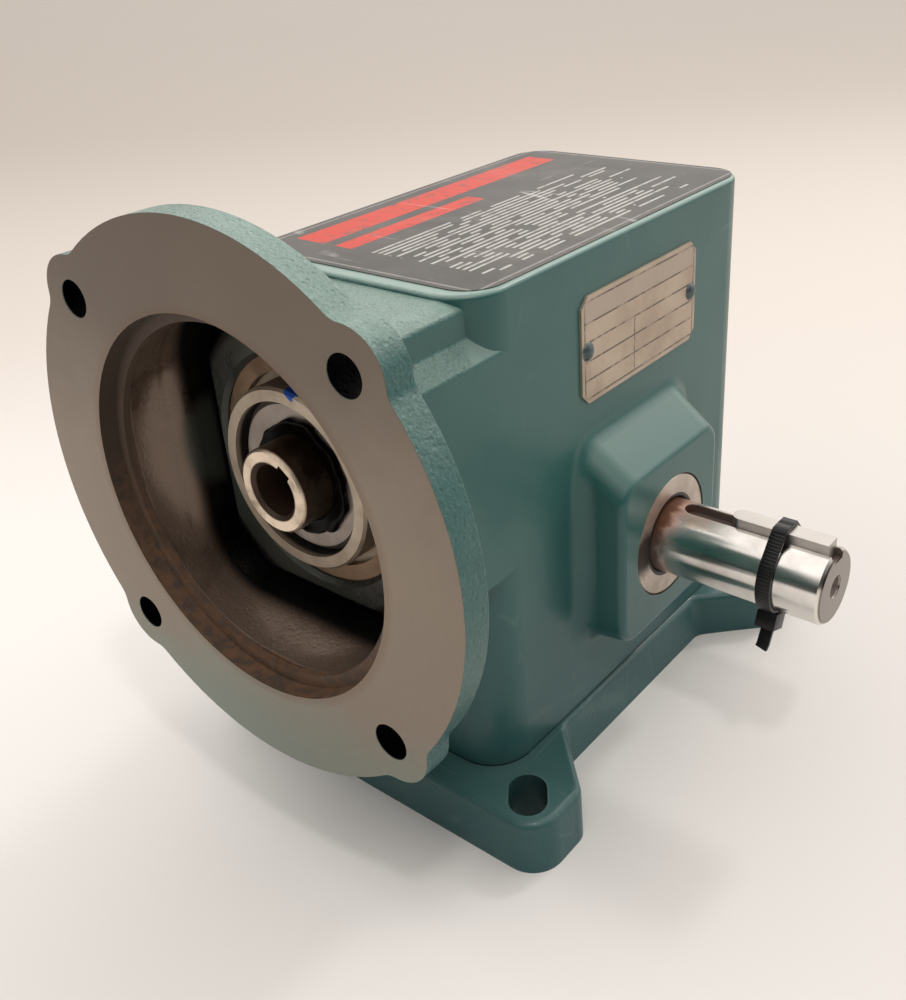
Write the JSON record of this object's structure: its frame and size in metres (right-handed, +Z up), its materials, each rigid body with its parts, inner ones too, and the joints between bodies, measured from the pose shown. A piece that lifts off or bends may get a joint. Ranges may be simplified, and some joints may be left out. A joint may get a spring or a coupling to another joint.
{
  "type": "worm gear reducer",
  "caption": "Right-angle worm gear reducer with a flanged hollow motor input, solid keyed output shaft, slotted foot base and a cast case with flat deck.",
  "frame": {"origin": "middle of the foot slots on the mounting plane", "axes": "+X along the output shaft towards its free end, +Y from the motor face towards the rear, +Z up"},
  "size_m": [0.2032, 0.2209, 0.2095],
  "materials": {
    "teal_paint": "satin teal paint over cast iron",
    "black_oxide_steel": "black oxide",
    "gasket_fibre": "compressed fibre sheet",
    "plate_metal": "satin etched plate",
    "pin_steel": "painted over",
    "label_film": "printed film",
    "machined_iron": "turned",
    "seal_rubber": "matt",
    "seal_steel": "pressed sheet",
    "bearing_steel": "ground and polished",
    "cage_steel": "pressed sheet",
    "worm_steel": "ground thread, turned quill",
    "shaft_steel": "ground bar",
    "wheel_bronze": "cut bronze",
    "hub_iron": "turned casting",
    "tie_nylon": "black moulded nylon"
  },
  "bodies": {
    "gear_case": {"housing": "teal_paint", "base": "teal_paint", "base_screws": "black_oxide_steel", "side_cover": "teal_paint", "side_cover_gasket": "gasket_fibre", "side_cover_screws": "black_oxide_steel", "vent_plug": "black_oxide_steel", "drain_plug": "black_oxide_steel", "name_plate": "plate_metal", "name_plate_pins": "pin_steel", "top_label": "label_film", "seal_carrier": "machined_iron", "carrier_o_ring": "seal_rubber", "input_snap_ring": "black_oxide_steel", "input_seal_case": "seal_steel", "input_seal_lip": "seal_rubber", "rear_bore_plug": "seal_steel", "input_bearing_outer_ring": "bearing_steel", "rear_bearing_outer_ring": "bearing_steel", "output_seal_case": "seal_steel", "output_seal_lip": "seal_rubber", "right_bearing_cup": "bearing_steel", "left_bearing_cup": "bearing_steel"},
    "worm": {"worm_shaft": "worm_steel", "quill_snap_ring": "black_oxide_steel", "input_bearing_inner_ring": "bearing_steel", "rear_bearing_inner_ring": "bearing_steel"},
    "output": {"output_shaft": "shaft_steel", "worm_wheel": "wheel_bronze", "wheel_hub": "hub_iron", "wheel_key": "shaft_steel", "wheel_spacer": "shaft_steel", "right_bearing_cone": "bearing_steel", "left_bearing_cone": "bearing_steel", "output_key": "shaft_steel", "cable_tie": "tie_nylon"},
    "input_bearing_set": {"input_bearing_balls": "bearing_steel", "input_bearing_cage": "cage_steel"},
    "rear_bearing_set": {"rear_bearing_balls": "bearing_steel", "rear_bearing_cage": "cage_steel"},
    "right_bearing_set": {"right_bearing_rollers": "bearing_steel", "right_bearing_cage": "cage_steel"},
    "left_bearing_set": {"left_bearing_rollers": "bearing_steel", "left_bearing_cage": "cage_steel"}
  },
  "joints": [
    {"name": "input_spin", "type": "hinge", "parent": "gear_case", "child": "worm", "pos_m": [0, 0, 0.127], "axis": [0, 1, 0], "continuous": true},
    {"name": "output_spin", "type": "hinge", "parent": "gear_case", "child": "output", "pos_m": [0, 0, 0.0762], "axis": [1, 0, 0], "continuous": true},
    {"name": "input_bearing_roll", "type": "hinge", "parent": "gear_case", "child": "input_bearing_set", "pos_m": [0, 0, 0.127], "axis": [0, 1, 0], "continuous": true},
    {"name": "rear_bearing_roll", "type": "hinge", "parent": "gear_case", "child": "rear_bearing_set", "pos_m": [0, 0, 0.127], "axis": [0, 1, 0], "continuous": true},
    {"name": "right_bearing_roll", "type": "hinge", "parent": "gear_case", "child": "right_bearing_set", "pos_m": [0, 0, 0.0762], "axis": [1, 0, 0], "continuous": true},
    {"name": "left_bearing_roll", "type": "hinge", "parent": "gear_case", "child": "left_bearing_set", "pos_m": [0, 0, 0.0762], "axis": [1, 0, 0], "continuous": true}
  ],
  "couplings": [
    {"joint": "output_spin", "follows": "input_spin", "ratio": 0.033333},
    {"joint": "input_bearing_roll", "follows": "input_spin", "ratio": 0.39626},
    {"joint": "rear_bearing_roll", "follows": "input_spin", "ratio": 0.36806},
    {"joint": "right_bearing_roll", "follows": "input_spin", "ratio": 0.014776},
    {"joint": "left_bearing_roll", "follows": "input_spin", "ratio": 0.014776}
  ]
}
